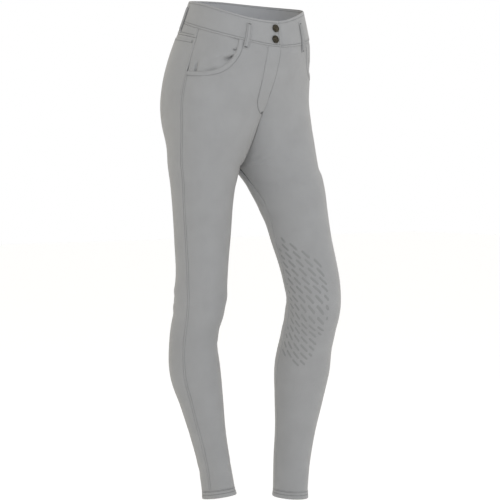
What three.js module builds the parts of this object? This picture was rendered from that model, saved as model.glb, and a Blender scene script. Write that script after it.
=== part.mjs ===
// Riding breeches as worn: a close-fitting pair in stretch cloth that keeps the form of a walking figure.
// Millimetres. +Z is up, the front faces -Y and the wearer's left is at +X.
// The origin is the middle of the waist's opening, where the wearer carries the garment.
import * as THREE from "three";

// Cloth
const WALL = 1.5; // thickness of one layer
const GAP = 0.3; // between two pieces that are sewn together
const SEAM_SHARE = 0.0013; // share of a panel's width that is left free at each long seam
const LAYER = WALL + GAP; // how far a second layer lies from the first

// Heights at the side of the body
const RIM = 0;
const BAND_SEAM = -50; // the waistband's lower edge
const HIP = -110; // the trunk starts to part into two thighs
const FORK = -325; // the crotch
const HEM_SEAM = { right: -984, left: -996 };
const HEM = { right: -1000, left: -1012 };

// The trunk: x and y are the middle, wide is half the width, front and back are the depths each way,
// lean is the rise from the middle to the back, and dip is a further drop of the front.
const TRUNK = [
  { z: 0, x: 0, y: 0, wide: 122, front: 94, back: 96, lean: 12, dip: 22 },
  { z: -50, x: -3, y: 1, wide: 135, front: 109, back: 102, lean: 30, dip: 7 },
  { z: -100, x: -9, y: 6, wide: 146, front: 114, back: 114, lean: 22, dip: 0 },
  { z: -150, x: -15, y: 11, wide: 156, front: 113, back: 127, lean: 6, dip: 0 },
  { z: -200, x: -20, y: 17, wide: 159, front: 112, back: 134, lean: 0, dip: 0 },
  { z: -260, x: -20, y: 18, wide: 162, front: 110, back: 132, lean: 0, dip: 0 },
  { z: -330, x: -13, y: 14, wide: 160, front: 104, back: 114, lean: 0, dip: 0 },
];
const TRUNK_SQUARENESS = 2.35; // 2 is an ellipse
const TRUNK_TILT = -0.02; // rise for each millimetre to the left
// The rim waves as the wearer walks: drop is how far it lies lower, round a turn and fading out within a reach,
// both in degrees.
const RIM_WAVES = [
  { turn: -50, reach: 52, drop: 7 },
  { turn: 45, reach: 45, drop: -4.5 },
];

// The legs: x and y are the middle, long and short are the half axes of the section,
// and turn is the angle of the long axis from straight out towards the front.
const RIGHT_LEG = [
  { z: -250, x: -89, y: 24, long: 90, short: 74, turn: 45 },
  { z: -325, x: -92, y: 27, long: 88, short: 72, turn: 45 },
  { z: -360, x: -93, y: 28, long: 82, short: 66, turn: 45 },
  { z: -400, x: -94, y: 29, long: 76, short: 61, turn: 45 },
  { z: -480, x: -94, y: 29, long: 63, short: 56, turn: 45 },
  { z: -560, x: -95, y: 30, long: 55, short: 53, turn: 45 },
  { z: -610, x: -95, y: 37, long: 49, short: 56, turn: 0 },
  { z: -645, x: -96, y: 46, long: 47, short: 52, turn: 0 },
  { z: -680, x: -98, y: 52, long: 47, short: 52, turn: 0 },
  { z: -740, x: -97, y: 49, long: 50, short: 54, turn: 0 },
  { z: -800, x: -88, y: 40, long: 43, short: 46, turn: 0 },
  { z: -870, x: -78, y: 30, long: 35, short: 38, turn: 0 },
  { z: -930, x: -69, y: 22, long: 30, short: 37, turn: 0 },
  { z: -1000, x: -61, y: 14, long: 31, short: 37, turn: 0 },
];
const LEFT_LEG = [
  { z: -250, x: 58, y: -4, long: 90, short: 75, turn: 45 },
  { z: -325, x: 63, y: -18, long: 86, short: 73, turn: 45 },
  { z: -360, x: 74, y: -35, long: 75, short: 67, turn: 45 },
  { z: -400, x: 81, y: -51, long: 66, short: 62, turn: 45 },
  { z: -480, x: 83, y: -80, long: 57, short: 56, turn: 45 },
  { z: -560, x: 86, y: -101, long: 55, short: 54, turn: 45 },
  { z: -610, x: 88, y: -104, long: 50, short: 59, turn: 0 },
  { z: -645, x: 90, y: -94, long: 48, short: 58, turn: 0 },
  { z: -680, x: 90, y: -83, long: 49, short: 57, turn: 0 },
  { z: -740, x: 92, y: -66, long: 53, short: 59, turn: 0 },
  { z: -800, x: 91, y: -57, long: 48, short: 52, turn: 0 },
  { z: -870, x: 88, y: -49, long: 39, short: 44, turn: 0 },
  { z: -930, x: 86, y: -42, long: 35, short: 41, turn: 0 },
  { z: -1000, x: 85, y: -38, long: 33, short: 39, turn: 0 },
];

// The long seams: outer is how far the side seam lies in front of the side of the body,
// and inner how far the inseam lies behind the inside of the leg, both in degrees.
const SEAMS = [
  { z: 0, outer: 5, inner: 0 },
  { z: -225, outer: 12, inner: 0 },
  { z: -360, outer: 20, inner: 4 },
  { z: -500, outer: 18, inner: 16 },
  { z: -600, outer: 21, inner: 20 },
  { z: -690, outer: 26, inner: 20 },
  { z: -770, outer: 23, inner: 18 },
  { z: -840, outer: 20, inner: 16 },
  { z: -905, outer: 20, inner: 15 },
  { z: -1000, outer: 15, inner: 15 },
];

// The crotch: both legs share this point, and the inseam runs out of it within the reach.
const CROTCH = { x: -10, y: 15, reach: 70, sharpness: 5 };
// The curve of the rise in front and behind, as the two powers of a rounded corner
const RISE = { front: { down: 1.6, under: 1.4 }, back: { down: 3, under: 2 } };
const TILT_REACH = 90; // below the crotch, sections turn square to the leg within this length

// Pieces
// The front pocket's curved mouth: start is its share of the width at the band, and the facing reaches
// under the edge by a share and a depth. At its lower end it lies sunk by more than a layer.
const SCOOP = { start: 0.545, depth: 87, round: 0.75, spread: 1.7, under: 0.05, below: 6, sunk: 2.2, corner: 0.96 };
const YOKE = { side: 19, middle: 40, calm: -200 }; // depth at the side seam, and what is added at the middle
const BACK_POCKET = { below: 7.5, inner: 0.36, outer: 0.985, depth: 128, point: 13, thick: 1.1, lift: 0.8 };
const PLACKET = { length: 130, wide: 0.2, curve: 34, thick: 1, lift: 0.8 };
// The band's right end laps over the left: its edge, how far the left runs under it and rises beside it, in degrees
const LAP = { edge: 1.5, under: 13.5, clear: 0.3, rise: 4 };
const FACING = { right: 22.5, left: 7.5, edge: 1, thick: 1.2 }; // where the band's inner layer starts beside the fly
const LOOP = { wide: 10, top: -12, bottom: -66, thick: 1.2, stand: 1.6 };
const LOOP_PLACES = [ // turn is at the upper end, and lean is how much further round the lower end lies
  { name: "belt_loop_front_right", turn: -36.5, lean: -2.3 },
  { name: "belt_loop_side_right", turn: -109, lean: 0 },
  { name: "belt_loop_center_back", turn: 178, lean: 0 },
  { name: "belt_loop_side_left", turn: 109, lean: 0 },
  { name: "belt_loop_front_left", turn: 37.5, lean: -3.7 },
];
const CAP = { radius: 8, rim: 6.4, height: 2.6, seat: 0.5 };
const CAP_PLACES = [
  { name: "snap_cap_1", turn: -4, z: -14.5 },
  { name: "snap_cap_2", turn: -6.3, z: -35 },
];
const HEM_OUT = 0.5; // the hem's folded layers stand proud of the panels

// Mesh density
const LEG_STEP = 32; // height of a row on the legs
const THIGH_STEP = 18; // and on the seat and thighs
const FRONT_COLUMNS = 9;
const SCOOP_ROWS = 12;
const BACK_COLUMNS = 10;
const RING_COLUMNS = 28;
const TURN_STEP = 7.5; // degrees of a column of the waistband

const CLOTH = { color: 0x9b9b9c, roughness: 0.85, metalness: 0 };
const LINING = { color: 0x838486, roughness: 0.9, metalness: 0 };
const METAL = { color: 0x4b4434, roughness: 0.4, metalness: 0.9 };

const RADIANS = Math.PI / 180;
const nameOf = (side) => (side < 0 ? "right" : "left");
const clamp01 = (t) => Math.min(1, Math.max(0, t));
const smooth = (t) => clamp01(t) ** 2 * (3 - 2 * clamp01(t));

// A smooth curve through one column of a table whose rows go down.
function curve(table, column, z) {
  const last = table.length - 1;
  if (z >= table[0].z) return table[0][column];
  const slope = (i) => {
    const a = table[Math.max(0, i - 1)];
    const b = table[i];
    const c = table[Math.min(last, i + 1)];
    if (i === 0) return (c[column] - b[column]) / (c.z - b.z);
    if (i === last) return (b[column] - a[column]) / (b.z - a.z);
    const above = (b[column] - a[column]) / (b.z - a.z);
    const below = (c[column] - b[column]) / (c.z - b.z);
    return (above * (b.z - c.z) + below * (a.z - b.z)) / (a.z - c.z);
  };
  if (z <= table[last].z) return table[last][column] + (z - table[last].z) * slope(last);
  let i = 0;
  while (table[i + 1].z > z) i++;
  const span = table[i + 1].z - table[i].z;
  const t = (z - table[i].z) / span;
  return (
    (2 * t ** 3 - 3 * t ** 2 + 1) * table[i][column] +
    (t ** 3 - 2 * t ** 2 + t) * span * slope(i) +
    (3 * t ** 2 - 2 * t ** 3) * table[i + 1][column] +
    (t ** 3 - t ** 2) * span * slope(i + 1)
  );
}

// A point of the trunk: angle is -90 at the front, 0 at the side and 90 at the back.
function trunkPoint(side, z, angle) {
  const across = Math.cos(angle * RADIANS);
  const along = Math.sin(angle * RADIANS);
  const shareX = (Math.abs(across) / curve(TRUNK, "wide", z)) ** TRUNK_SQUARENESS;
  const shareY = (Math.abs(along) / curve(TRUNK, along < 0 ? "front" : "back", z)) ** TRUNK_SQUARENESS;
  const radius = (shareX + shareY) ** (-1 / TRUNK_SQUARENESS);
  const x = curve(TRUNK, "x", z) + side * radius * across;
  const y = curve(TRUNK, "y", z) + radius * along;
  const drop = curve(TRUNK, "dip", z) * Math.max(0, -along) ** 2 + rimDrop(side * (angle + 90), z);
  return new THREE.Vector3(x, y, z + curve(TRUNK, "lean", z) * along - drop + TRUNK_TILT * x);
}

// How far the rim's waves lower a point of the waistband, in full at the rim and not at all at its lower edge
function rimDrop(turn, z) {
  const share = Math.max(0, (z - BAND_SEAM) / (RIM - BAND_SEAM));
  return RIM_WAVES.reduce((sum, wave) => {
    const near = smooth(1 - Math.abs(turn - wave.turn) / wave.reach);
    return sum + wave.drop * near * share;
  }, 0);
}

// A point of a leg: angle is 0 on the outside, -90 at the front and 180 on the inside.
function legPoint(side, z, angle) {
  const table = side < 0 ? RIGHT_LEG : LEFT_LEG;
  const long = curve(table, "long", z);
  const short = curve(table, "short", z);
  const turned = (angle + curve(table, "turn", z)) * RADIANS;
  const radius = (long * short) / Math.hypot(short * Math.cos(turned), long * Math.sin(turned));
  const out = side * radius * Math.cos(angle * RADIANS);
  const back = radius * Math.sin(angle * RADIANS);
  const step = 4; // for the slope of the leg's middle line
  const tilt = smooth((FORK - z) / TILT_REACH);
  const slopeX = (curve(table, "x", z + step) - curve(table, "x", z - step)) / (2 * step);
  const slopeY = (curve(table, "y", z + step) - curve(table, "y", z - step)) / (2 * step);
  return new THREE.Vector3(
    curve(table, "x", z) + out,
    curve(table, "y", z) + back,
    z - (out * slopeX + back * slopeY) * tilt,
  );
}

// The cloth's outer surface. side is -1 for the wearer's right and 1 for the left, face is front or back,
// z is the height at the side seam, and u runs from 0 at the middle seam or inseam to 1 at the side seam.
function surface(side, face, z, u) {
  const half = face === "front" ? -1 : 1;
  const seam = -curve(SEAMS, "outer", z);
  const trunkAngle = half * 90 + (seam - half * 90) * u;
  if (z >= HIP) return trunkPoint(side, z, trunkAngle);
  const inseam = half * 180 - curve(SEAMS, "inner", z);
  const legAngle = inseam + (seam - inseam) * u;
  const leg = legPoint(side, z, legAngle);
  const end = legPoint(side, Math.max(z, FORK), half * 180);
  const pull = (1 - u) ** CROTCH.sharpness * smooth((z - FORK + CROTCH.reach) / CROTCH.reach);
  leg.y += (CROTCH.y - end.y) * pull;
  leg.x += (CROTCH.x - end.x) * pull;
  leg.x = CROTCH.x + side * Math.max(GAP, side * (leg.x - CROTCH.x)); // the thighs touch and don't cross
  if (z <= FORK) return leg;
  const way = (HIP - z) / (HIP - FORK);
  const fall = Math.sin((way * Math.PI) / 2);
  const rise = RISE[face];
  const middle = 1 - (1 - fall ** rise.down) ** (1 / rise.under);
  const near = 0.5 + 0.5 * Math.cos(Math.PI * u); // 1 at the middle seam, 0 at the side seam
  const share = smooth(way) + (middle - smooth(way)) * near;
  const trunk = trunkPoint(side, z, trunkAngle);
  return new THREE.Vector3(
    trunk.x + (leg.x - trunk.x) * share,
    trunk.y + (leg.y - trunk.y) * share,
    trunk.z + (z - trunk.z) * share + (HIP + (FORK - HIP) * fall - z) * near,
  );
}

// The same surface moved out by some millimetres, square to itself.
function panelPoint(side, face, z, u, out) {
  const stepZ = 1.5;
  const stepU = 0.01;
  const across = surface(side, face, z, u + stepU).sub(surface(side, face, z, u - stepU));
  const up = surface(side, face, z + stepZ, u).sub(surface(side, face, z - stepZ, u));
  const outward = across.cross(up).normalize();
  if ((face === "front") !== side > 0) outward.negate();
  return surface(side, face, z, u).addScaledVector(outward, out);
}

// A point of the waistband: turn is in degrees from the middle of the front, to the wearer's left if positive.
function bandPoint(turn, z, out) {
  const at = (t, h) => {
    const wrapped = t > 180 ? t - 360 : t;
    return trunkPoint(wrapped < 0 ? -1 : 1, h, Math.abs(wrapped) - 90);
  };
  const outward = at(turn + 0.5, z).sub(at(turn - 0.5, z)).cross(at(turn, z + 1).sub(at(turn, z - 1)));
  return at(turn, z).addScaledVector(outward.normalize(), out);
}

// A closed wall between two grids of points that have the same rows and columns.
function wallGeometry(outer, inner, ring = false) {
  const rows = outer.length;
  const columns = outer[0].length;
  const positions = [...outer.flat(), ...inner.flat()].flatMap((p) => [p.x, p.y, p.z]);
  const index = [];
  const at = (i, j) => i * columns + (j % columns);
  const back = rows * columns;
  const quad = (a, b, c, d) => index.push(a, b, c, a, c, d);
  const spans = ring ? columns : columns - 1;
  for (let i = 0; i < rows - 1; i++)
    for (let j = 0; j < spans; j++) {
      quad(at(i, j), at(i + 1, j), at(i + 1, j + 1), at(i, j + 1));
      quad(back + at(i, j), back + at(i, j + 1), back + at(i + 1, j + 1), back + at(i + 1, j));
    }
  for (let j = 0; j < spans; j++) {
    quad(at(0, j), at(0, j + 1), back + at(0, j + 1), back + at(0, j));
    quad(at(rows - 1, j + 1), at(rows - 1, j), back + at(rows - 1, j), back + at(rows - 1, j + 1));
  }
  for (let i = 0; i < rows - 1 && !ring; i++) {
    quad(at(i + 1, 0), at(i, 0), back + at(i, 0), back + at(i + 1, 0));
    quad(at(i, spans), at(i + 1, spans), back + at(i + 1, spans), back + at(i, spans));
  }
  const geometry = new THREE.BufferGeometry();
  geometry.setAttribute("position", new THREE.Float32BufferAttribute(positions, 3));
  geometry.setIndex(volumeOf(positions, index) < 0 ? index.reverse() : index);
  geometry.computeVertexNormals();
  return geometry;
}

// Six times the volume inside a closed mesh, negative where its faces point inwards.
function volumeOf(positions, index) {
  const corner = (i) => new THREE.Vector3().fromArray(positions, 3 * i);
  let volume = 0;
  for (let i = 0; i < index.length; i += 3)
    volume += corner(index[i]).dot(corner(index[i + 1]).cross(corner(index[i + 2])));
  return volume;
}

// A wall from a rule that gives the point at a row and a column, moved out by a distance.
function sheet(rows, columns, thick, point, ring = false) {
  const grid = (out) => rows.map((row) => columns.map((column) => point(row, column, out)));
  return wallGeometry(grid(0), grid(-thick), ring);
}

const evenly = (count) => Array.from({ length: count + 1 }, (_, i) => i / count);

// Heights from one to another, in equal steps no longer than the given one, without the first.
function levels(from, to, step) {
  const count = Math.ceil((from - to) / step);
  return Array.from({ length: count }, (_, i) => from + ((to - from) * (i + 1)) / count);
}

const breeches = new THREE.Group();
breeches.name = "riding_breeches";

function addPiece(name, geometry, look) {
  const mesh = new THREE.Mesh(geometry, new THREE.MeshStandardMaterial(look));
  mesh.name = name;
  breeches.add(mesh);
}

// Keeps a panel's edges clear of the seams: shares 0 and 1 become just more and just less.
const insideSeams = (w, from = 0, to = 1) => {
  const low = from === 0 ? SEAM_SHARE : from;
  const high = to === 1 ? 1 - SEAM_SHARE : to;
  return low + (high - low) * w;
};

// The pocket's mouth, from a share of 0 on the band's seam to 1 on the side seam, with rows closer at the end
function scoopEdge(share, grow = 0) {
  const angle = (Math.PI / 2) * (1 - (1 - share) ** SCOOP.spread);
  const fall = Math.sin(angle) ** SCOOP.round;
  const reach = Math.abs(Math.cos(angle)) ** SCOOP.round;
  const wide = 1 - SCOOP.start + (grow ? SCOOP.under : 0);
  const sunk = SCOOP.sunk * share;
  return { z: BAND_SEAM - GAP - (SCOOP.depth + grow) * fall, u: 1 - wide * reach, sunk };
}

function addFront(side) {
  const scoopRows = evenly(SCOOP_ROWS).map((v) => scoopEdge(v));
  const below = [
    ...levels(scoopRows.at(-1).z, FORK, THIGH_STEP),
    ...levels(FORK, HEM_SEAM[nameOf(side)] + GAP, LEG_STEP),
  ];
  const rows = [...scoopRows, ...below.map((z) => ({ z, u: 1 }))];
  const point = (row, w, out) => panelPoint(side, "front", row.z, insideSeams(w, 0, row.u), out);
  addPiece(`front_${nameOf(side)}`, sheet(rows, evenly(FRONT_COLUMNS), WALL, point), CLOTH);
}

// The part of the pocket bag that shows in the mouth, under the front's edge
function addPocketFacing(side) {
  const rows = evenly(SCOOP_ROWS).map((v) => scoopEdge(v, SCOOP.below));
  const point = (row, w, out) => {
    const u = row.u + (1 - SEAM_SHARE - row.u) * w;
    return panelPoint(side, "front", row.z, u, out - LAYER - row.sunk);
  };
  rows.at(-1).u = SCOOP.corner;
  addPiece(`pocket_facing_${nameOf(side)}`, sheet(rows, evenly(FRONT_COLUMNS), WALL, point), CLOTH);
}

// Rows of the back follow the yoke's slanted seam at the top and calm down below it.
function backHeight(level, u) {
  const share = clamp01((level - YOKE.calm) / (BAND_SEAM - YOKE.side - YOKE.calm));
  return level - YOKE.middle * (1 - u) ** 2 * share ** 2;
}

function addYoke(side) {
  const point = (v, w, out) => {
    const u = insideSeams(w);
    const bottom = backHeight(BAND_SEAM - YOKE.side, u) + GAP / 2;
    const top = BAND_SEAM - GAP;
    return panelPoint(side, "back", top + (bottom - top) * v, u, out);
  };
  addPiece(`back_yoke_${nameOf(side)}`, sheet(evenly(3), evenly(BACK_COLUMNS), WALL, point), CLOTH);
}

function addBack(side) {
  const top = BAND_SEAM - YOKE.side;
  const rows = [
    top - GAP,
    ...levels(top - GAP, FORK, THIGH_STEP),
    ...levels(FORK, HEM_SEAM[nameOf(side)] + GAP, LEG_STEP),
  ];
  const point = (level, w, out) => {
    const u = insideSeams(w);
    return panelPoint(side, "back", backHeight(level, u), u, out);
  };
  addPiece(`back_${nameOf(side)}`, sheet(rows, evenly(BACK_COLUMNS), WALL, point), CLOTH);
}

function addBackPocket(side) {
  const top = BAND_SEAM - YOKE.side - BACK_POCKET.below;
  const point = (v, w, out) => {
    const u = BACK_POCKET.inner + (BACK_POCKET.outer - BACK_POCKET.inner) * w;
    const depth = BACK_POCKET.depth + BACK_POCKET.point * (1 - Math.abs(2 * w - 1));
    return panelPoint(side, "back", backHeight(top - depth * v, u), u, out + BACK_POCKET.lift + BACK_POCKET.thick);
  };
  const geometry = sheet(evenly(7), evenly(8), BACK_POCKET.thick, point);
  addPiece(`back_pocket_${nameOf(side)}`, geometry, CLOTH);
}

// The fly's edge on the wearer's right, over the middle seam, with its curved lower corner
function addPlacket() {
  const point = (v, w, out) => {
    const z = BAND_SEAM - GAP - PLACKET.length * v;
    const corner = clamp01(((v - 1) * PLACKET.length + PLACKET.curve) / PLACKET.curve);
    const wide = PLACKET.wide * Math.sqrt(1 - 0.96 * corner ** 2);
    return panelPoint(-1, "front", z, insideSeams(w, 0, wide), out + PLACKET.lift + PLACKET.thick);
  };
  addPiece("fly_placket", sheet(evenly(10), evenly(4), PLACKET.thick, point), CLOTH);
}

// Turns from one to another at multiples of the band's step, so that its layers share their columns
function turns(from, to) {
  const inner = evenly(360 / TURN_STEP).map((w) => 360 * w - 180);
  return [from, ...inner.filter((turn) => turn > from + 1 && turn < to - 1), to];
}

function addWaistband() {
  const back = 180 - 0.1; // the middle of the back, less half of the seam
  const bandHeight = (v) => RIM + (BAND_SEAM - RIM) * v;
  const right = (v, turn, out) => bandPoint(turn, bandHeight(v), out);
  const left = (v, turn, out) => {
    const sunk = LAYER * (1 - smooth((turn - LAP.edge - LAP.clear) / LAP.rise));
    return bandPoint(turn, bandHeight(v), out - sunk);
  };
  const inner = (v, turn, out) => {
    const z = RIM - FACING.edge + (BAND_SEAM - RIM + 2 * FACING.edge) * v;
    return bandPoint(turn, z, out - LAYER);
  };
  const lapTurns = [0, 0.5, 1].map((t) => LAP.edge + LAP.clear + LAP.rise * t);
  const leftTurns = [...turns(LAP.edge - LAP.under, LAP.edge), ...lapTurns, ...turns(TURN_STEP, back)];
  addPiece("waistband_right", sheet(evenly(3), turns(-back, LAP.edge), WALL, right), CLOTH);
  addPiece("waistband_left", sheet(evenly(3), leftTurns, WALL, left), CLOTH);
  const facingRight = sheet(evenly(3), turns(-back, -FACING.right), FACING.thick, inner);
  addPiece("waistband_facing_right", facingRight, LINING);
  const facingLeft = sheet(evenly(3), turns(FACING.left, back), FACING.thick, inner);
  addPiece("waistband_facing_left", facingLeft, LINING);
}

// A loop lies on the band and the panel at its ends and stands off the band between them.
function addLoop({ name, turn, lean }) {
  const around = bandPoint(turn + 1, BAND_SEAM, 0).distanceTo(bandPoint(turn - 1, BAND_SEAM, 0)) / 2;
  const halfTurn = LOOP.wide / 2 / around;
  const point = (v, w, out) => {
    const z = LOOP.top + (LOOP.bottom - LOOP.top) * v;
    const stand = LOOP.stand * smooth(v / 0.15) * smooth((1 - v) / 0.15);
    return bandPoint(turn + lean * v + halfTurn * (2 * w - 1), z, out + GAP + LOOP.thick + stand);
  };
  addPiece(name, sheet(evenly(10), evenly(2), LOOP.thick, point), CLOTH);
}

function addSnapCap({ name, turn, z }) {
  const { radius, rim, height } = CAP;
  const profile = [
    [0, 0],
    [radius - 0.6, 0],
    [radius, 0.6],
    [radius - 0.2, height - 0.5],
    [radius - 0.8, height],
    [rim, height],
    [rim - 0.6, height - 0.8],
    [rim - 2.4, height - 0.3],
    [0, height - 0.1],
  ];
  const geometry = new THREE.LatheGeometry(profile.map(([r, h]) => new THREE.Vector2(r, h)), 24);
  const cap = new THREE.Mesh(geometry, new THREE.MeshStandardMaterial(METAL));
  cap.name = name;
  const seat = bandPoint(turn, z, CAP.seat);
  const outward = bandPoint(turn, z, 1).sub(bandPoint(turn, z, 0)).normalize();
  cap.position.copy(seat);
  cap.quaternion.setFromUnitVectors(new THREE.Vector3(0, 1, 0), outward);
  breeches.add(cap);
}

// The folded hem, a closed ring below the panels
function addHem(side) {
  const name = nameOf(side);
  const point = (v, w, out) => {
    const z = HEM_SEAM[name] + (HEM[name] - HEM_SEAM[name]) * v;
    const face = w < 0.5 ? "front" : "back";
    const u = w < 0.5 ? 2 * w : 2 - 2 * w;
    return panelPoint(side, face, z, u, out + HEM_OUT);
  };
  addPiece(`hem_${name}`, sheet(evenly(2), evenly(RING_COLUMNS).slice(1), WALL + HEM_OUT, point, true), CLOTH);
}

addWaistband();
for (const side of [-1, 1]) {
  addFront(side);
  addPocketFacing(side);
  addYoke(side);
  addBack(side);
  addBackPocket(side);
  addHem(side);
}
addPlacket();
LOOP_PLACES.forEach(addLoop);
CAP_PLACES.forEach(addSnapCap);

export default breeches;
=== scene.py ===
# Riding breeches as worn: the cloth with its seams and creases, the stitching, the snap caps and the grip.
# Sizes are in millimetres until a mesh is made. +Z is up, the front faces -Y, the wearer's left is at +X.
import math

import bpy
import numpy as np
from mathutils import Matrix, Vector


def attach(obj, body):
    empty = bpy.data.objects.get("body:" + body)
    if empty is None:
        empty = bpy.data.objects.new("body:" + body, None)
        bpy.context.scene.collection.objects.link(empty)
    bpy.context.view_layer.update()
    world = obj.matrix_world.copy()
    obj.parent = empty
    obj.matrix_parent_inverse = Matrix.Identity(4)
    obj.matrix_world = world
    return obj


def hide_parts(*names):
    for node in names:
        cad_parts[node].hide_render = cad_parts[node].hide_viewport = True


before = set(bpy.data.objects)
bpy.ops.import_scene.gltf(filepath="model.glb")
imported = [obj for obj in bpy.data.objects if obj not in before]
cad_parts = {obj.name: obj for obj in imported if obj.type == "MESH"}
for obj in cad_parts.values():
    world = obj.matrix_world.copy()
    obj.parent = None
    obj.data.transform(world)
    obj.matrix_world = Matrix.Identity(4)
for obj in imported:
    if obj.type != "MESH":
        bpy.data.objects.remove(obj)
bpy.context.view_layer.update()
SIDES = {-1: "right", 1: "left"}


def table(columns, rows):
    """A table with named columns, as one array for each column."""
    return dict(zip(columns.split(), np.array(rows, float).T))


CREASE = "z0 u0 z1 u1 bow wide depth"
LEG = "z x y long short turn"


# Heights at the side of the body
BAND_SEAM, HIP, FORK = -50, -110, -325
HEM_SEAM = {-1: -983, 1: -991}
HEM = {-1: -999, 1: -1007}

# The trunk: x and y are the middle, wide is half the width, front and back are the depths each way,
# lean is the rise from the middle to the back, and dip is a further drop of the front.
TRUNK = table("z x y wide front back lean dip", [
    (0, 0, 0, 122, 94, 96, 12, 22),
    (-50, -3, 1, 135, 109, 102, 30, 7),
    (-100, -9, 6, 146, 114, 114, 22, 0),
    (-150, -15, 11, 156, 113, 127, 6, 0),
    (-200, -20, 17, 159, 112, 134, 0, 0),
    (-260, -20, 18, 162, 110, 132, 0, 0),
    (-330, -13, 14, 160, 104, 114, 0, 0),
])
TRUNK_SQUARENESS = 2.35
TRUNK_TILT = -0.02
# The rim's waves, in degrees round the body: drop is how far it lies lower there
RIM_WAVES = [{"turn": -50, "reach": 52, "drop": 7}, {"turn": 45, "reach": 45, "drop": -4.5}]

# The legs: x and y are the middle, long and short are the half axes of the section,
# and turn is the angle of the long axis from straight out towards the front.
LEGS = {
    -1: table(LEG, [
        (-250, -89, 24, 90, 74, 45),
        (-325, -92, 27, 88, 72, 45),
        (-360, -93, 28, 82, 66, 45),
        (-400, -94, 29, 76, 61, 45),
        (-480, -94, 29, 63, 56, 45),
        (-560, -95, 30, 55, 53, 45),
        (-610, -95, 37, 49, 56, 0),
        (-645, -96, 46, 47, 52, 0),
        (-680, -98, 52, 47, 52, 0),
        (-740, -97, 49, 50, 54, 0),
        (-800, -88, 40, 43, 46, 0),
        (-870, -78, 30, 35, 38, 0),
        (-930, -69, 22, 30, 37, 0),
        (-1000, -61, 14, 31, 37, 0),
    ]),
    1: table(LEG, [
        (-250, 58, -4, 90, 75, 45),
        (-325, 63, -18, 86, 73, 45),
        (-360, 74, -35, 75, 67, 45),
        (-400, 81, -51, 66, 62, 45),
        (-480, 83, -80, 57, 56, 45),
        (-560, 86, -101, 55, 54, 45),
        (-610, 88, -104, 50, 59, 0),
        (-645, 90, -94, 48, 58, 0),
        (-680, 90, -83, 49, 57, 0),
        (-740, 92, -66, 53, 59, 0),
        (-800, 91, -57, 48, 52, 0),
        (-870, 88, -49, 39, 44, 0),
        (-930, 86, -42, 35, 41, 0),
        (-1000, 85, -38, 33, 39, 0),
    ]),
}

# The long seams: outer is how far the side seam lies in front of the side of the body,
# and inner how far the inseam lies behind the inside of the leg, both in degrees.
SEAMS = table("z outer inner", [
    (0, 5, 0), (-225, 12, 0), (-360, 20, 4), (-500, 18, 16), (-600, 21, 20),
    (-690, 26, 20), (-770, 23, 18), (-840, 20, 16), (-905, 20, 15), (-1000, 15, 15),
])
CROTCH = {"x": -10, "y": 15, "reach": 70, "sharpness": 5}
# How the middle seams leave the hips and reach the crotch: two powers of one curve
RISE = {"front": (1.6, 1.4), "back": (3, 2)}
TILT_REACH = 90
GAP = 0.3  # between pieces at a seam
EDGE_SHARE = 0.0012  # left free at a panel's long seams, as a share of its width

SCOOP = {"start": 0.545, "depth": 87, "round": 0.75, "spread": 1.7, "under": 0.05, "below": 6}
SCOOP_END = BAND_SEAM - GAP - SCOOP["depth"]
MOUTH_STITCH = 9.5  # from the pocket's mouth to its topstitch
YOKE = {"side": 19, "middle": 40, "calm": -200}
BACK_POCKET = {"below": 7.5, "inner": 0.36, "outer": 0.985, "depth": 128, "point": 13}
YOKE_LEVEL = BAND_SEAM - YOKE["side"]
POCKET = {"thick": 0.9, "edge": 0.1, "taper": 30, "hem": 4}
HIP_WIDE = 165  # a panel's width at the hips, about
PLACKET = {"length": 133, "wide": 0.2, "curve": 21, "thick": 0.7}
# The band's right end laps over its left one: turns in degrees from the middle of the front
LAP = {"edge": 1.5, "under": 13.5, "clear": 0.3, "rise": 4}
# The band's inner layer: the turns where it starts, its distance inside the band's edges, and its thickness
FACING = {"right": 22.5, "left": 7.5, "edge": 1, "thick": 0.85}
LAYER = 1.8  # from the band's outer side to the layer below it
BAND_THICK = 1.65
DEGREE = 2.1  # millimetres round the band for each degree, about
SEAT_END = 179.9  # the turn at the middle of the back, where the band's halves meet
RIGHT_ENDS, LEFT_ENDS = (-SEAT_END, LAP["edge"]), (LAP["edge"] - LAP["under"], SEAT_END)
LOOP = {"wide": 10, "top": -10.5, "bottom": -68.5, "thick": 1.2, "stand": 1.6}
# For each loop the turn at its upper end, and how much further round its lower end lies
LOOPS = {
    "front_right": (-36.5, -2.3), "side_right": (-109, 0), "center_back": (178, 0),
    "side_left": (109, 0), "front_left": (37.5, -3.7),
}
CAP = {"radius": 8, "rim": 6.4, "height": 2.6, "seat": 0.5}
CAPS = ((-4, -14.5), (-6.3, -35))  # turn and height
HEM_FOLD = {"tall": 16, "proud": 0.5, "flare": 1.3, "thick": 1.9, "round": 225}
HEM_STITCHES = (8.0, 14.0)  # above the lower edge

# Cloth and thread
CLOTH_THICK = 1.0
FELL = 5.5  # width of the raised band along a topstitched seam
STITCH_OFF = 4.6  # from a seam to its topstitch
# The seam from the fly's tack to the crotch lies flat at first, and is then raised on the wearer's right,
# with a trough beside it
RISE_SEAM = {"tack": -160, "top": -192, "wide": 7.5, "high": 0.9, "trough": 1.5}
STITCH = {"pitch": 3.1, "length": 2.65, "thick": 0.56, "proud": 0.36}


def smooth(t):
    t = np.clip(t, 0, 1)
    return t * t * (3 - 2 * t)


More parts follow.
